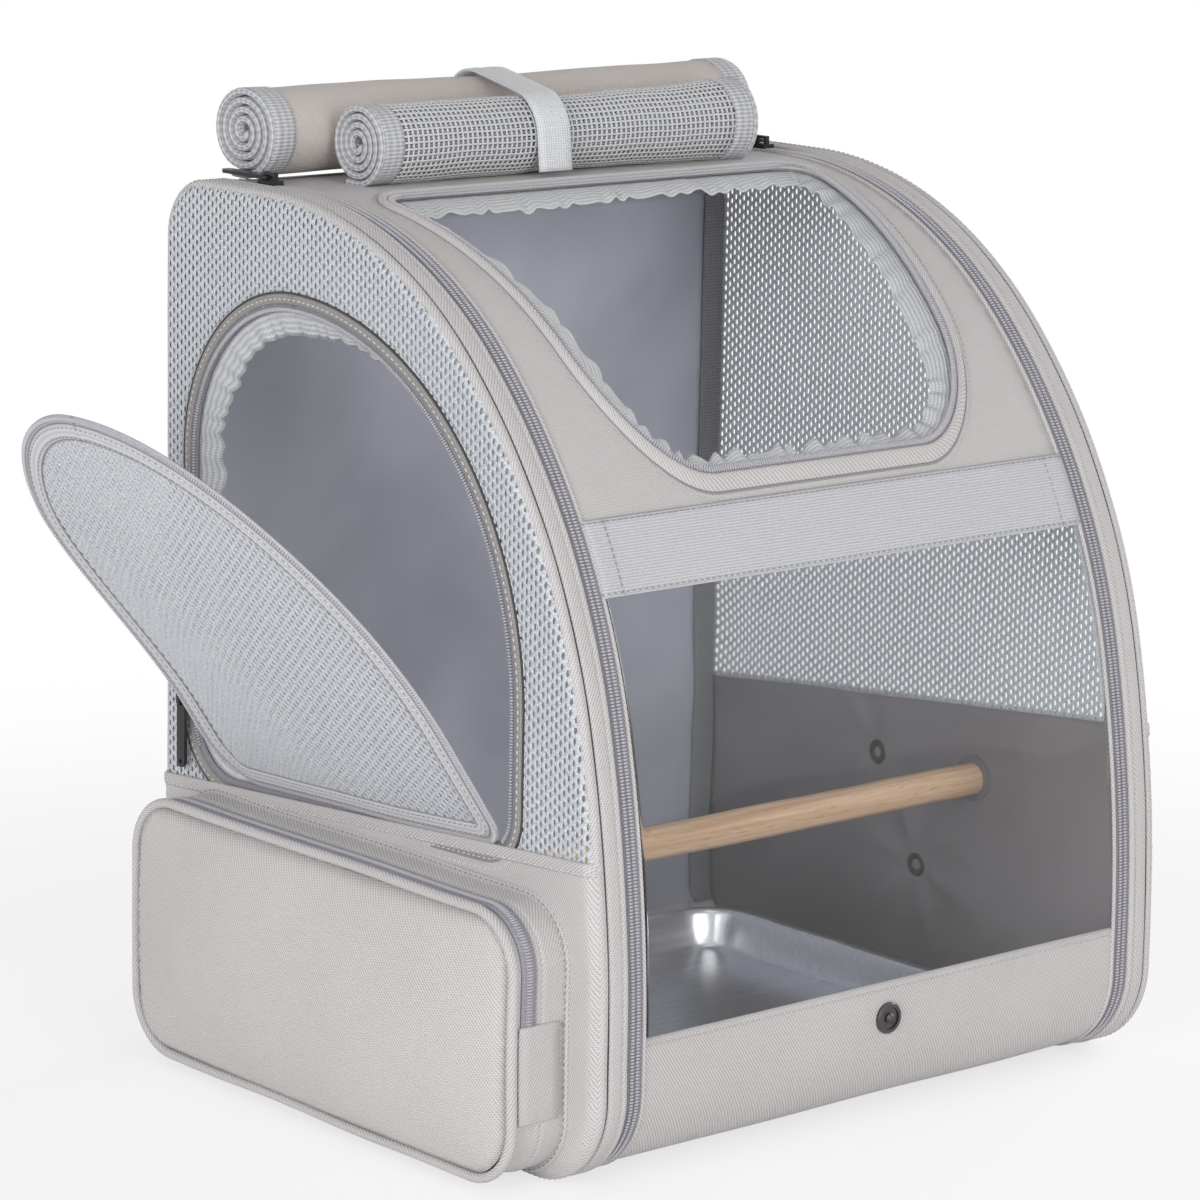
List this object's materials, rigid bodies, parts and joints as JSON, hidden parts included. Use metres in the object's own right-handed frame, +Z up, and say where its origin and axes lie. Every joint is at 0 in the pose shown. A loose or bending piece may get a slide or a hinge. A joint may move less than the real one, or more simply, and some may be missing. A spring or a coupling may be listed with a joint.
{
  "type": "bird travel carrier",
  "caption": "Soft backpack carrier for a small bird: mesh sides, clear front window, zipped side door and pocket, rolled-up covers, wooden perch and steel tray.",
  "frame": {"origin": "centre of the base, on its underside", "axes": "+Z up, +X to the right seen from the front, -Y towards the front window; the side door and the pocket are on the -X side"},
  "size_m": [0.4854, 0.3597, 0.4659],
  "materials": {
    "oxford_fabric": "matt twill",
    "stiffener_board": "matt",
    "satin_lining": "satin",
    "binding_tape": "ribbed",
    "zip_tape": "ribbed",
    "side_mesh": "open mesh",
    "ruffled_elastic": "ribbed",
    "webbing": "ribbed",
    "clear_vinyl": "clear gloss",
    "gunmetal": "polished",
    "cover_fabric": "satin",
    "screen_mesh": "open net",
    "black_enamel": "satin",
    "beech": "sanded",
    "stainless_steel": "bright",
    "black_plastic": "satin"
  },
  "bodies": {
    "carrier": {"base_panel": "oxford_fabric", "base_board": "stiffener_board", "back_panel": "oxford_fabric", "back_lining": "satin_lining", "corner_tapes": "binding_tape", "left_arch_frame": "oxford_fabric", "right_arch_frame": "oxford_fabric", "left_arch_zip": "zip_tape", "right_arch_zip": "zip_tape", "left_side_mesh": "side_mesh", "right_side_mesh": "side_mesh", "left_side_fabric": "oxford_fabric", "right_side_fabric": "oxford_fabric", "left_side_lining": "satin_lining", "right_side_lining": "satin_lining", "side_opening_zip": "zip_tape", "side_opening_elastic": "ruffled_elastic", "top_panel": "oxford_fabric", "top_opening_zip": "zip_tape", "top_opening_elastic": "ruffled_elastic", "front_band": "webbing", "front_window": "clear_vinyl", "front_lower_panel": "oxford_fabric", "snap_stud": "gunmetal", "cover_roll": "cover_fabric", "mesh_roll": "screen_mesh", "roll_strap": "webbing", "pocket_gusset": "oxford_fabric", "pocket_zip": "zip_tape", "pocket_front": "oxford_fabric", "pocket_piping": "binding_tape", "perch": "beech", "perch_washers": "black_enamel", "perch_screws": "black_enamel", "left_eyelets": "black_enamel", "right_eyelets": "black_enamel", "left_shoulder_pad": "oxford_fabric", "right_shoulder_pad": "oxford_fabric", "left_adjuster": "black_plastic", "right_adjuster": "black_plastic", "left_webbing": "webbing", "right_webbing": "webbing", "grab_handle": "webbing"},
    "side_door": {"door_mesh": "side_mesh", "door_binding": "binding_tape"},
    "tray_body": {"tray": "stainless_steel"},
    "pocket_front_flap": {"pocket_flap": "oxford_fabric", "pocket_flap_piping": "binding_tape"},
    "pocket_zip_slider": {"pocket_slider": "black_enamel"},
    "pocket_zip_pull": {"pocket_pull": "black_enamel"},
    "door_zip_slider": {"door_slider": "black_enamel"},
    "door_zip_pull": {"door_pull": "black_enamel"},
    "left_arch_zip_slider": {"left_arch_slider": "black_enamel"},
    "left_arch_zip_pull": {"left_arch_pull": "black_enamel"},
    "right_arch_zip_slider": {"right_arch_slider": "black_enamel"},
    "right_arch_zip_pull": {"right_arch_pull": "black_enamel"}
  },
  "joints": [
    {"name": "door_hinge", "type": "hinge", "parent": "carrier", "child": "side_door", "pos_m": [-0.1797, 0, 0.1424], "axis": [0, -0.999, 0.0436], "range_deg": [-33, 55]},
    {"name": "tray_lift", "type": "slide", "parent": "carrier", "child": "tray_body", "axis": [0, 0, 1], "range_m": [0, 0.075]},
    {"name": "pocket_flap_hinge", "type": "hinge", "parent": "carrier", "child": "pocket_front_flap", "pos_m": [-0.2263, 0, 0.076], "axis": [0, -1, 0], "range_deg": [0, 40]},
    {"name": "pocket_slider_slide", "type": "slide", "parent": "carrier", "child": "pocket_zip_slider", "axis": [0, 0, 1], "range_m": [0, 0.013]},
    {"name": "pocket_pull_swing", "type": "hinge", "parent": "pocket_zip_slider", "child": "pocket_zip_pull", "pos_m": [-0.2008, 0.1456, 0.082], "axis": [1, 0, 0], "range_deg": [0, 150]},
    {"name": "door_slider_slide", "type": "slide", "parent": "carrier", "child": "door_zip_slider", "axis": [0, 0, 1], "range_m": [0, 0.112]},
    {"name": "door_pull_swing", "type": "hinge", "parent": "door_zip_slider", "child": "door_zip_pull", "pos_m": [-0.1841, 0.139, 0.174], "axis": [0, 1, 0], "range_deg": [0, 150]},
    {"name": "left_arch_slider_slide", "type": "slide", "parent": "carrier", "child": "left_arch_zip_slider", "axis": [0, 1, 0], "range_m": [-0.017, 0.02]},
    {"name": "left_arch_pull_swing", "type": "hinge", "parent": "left_arch_zip_slider", "child": "left_arch_zip_pull", "pos_m": [-0.156, 0.108, 0.423], "axis": [1, 0, 0], "range_deg": [0, 150]},
    {"name": "right_arch_slider_slide", "type": "slide", "parent": "carrier", "child": "right_arch_zip_slider", "axis": [0, 1, 0], "range_m": [-0.017, 0.02]},
    {"name": "right_arch_pull_swing", "type": "hinge", "parent": "right_arch_zip_slider", "child": "right_arch_zip_pull", "pos_m": [0.156, 0.108, 0.423], "axis": [1, 0, 0], "range_deg": [0, 150]}
  ]
}
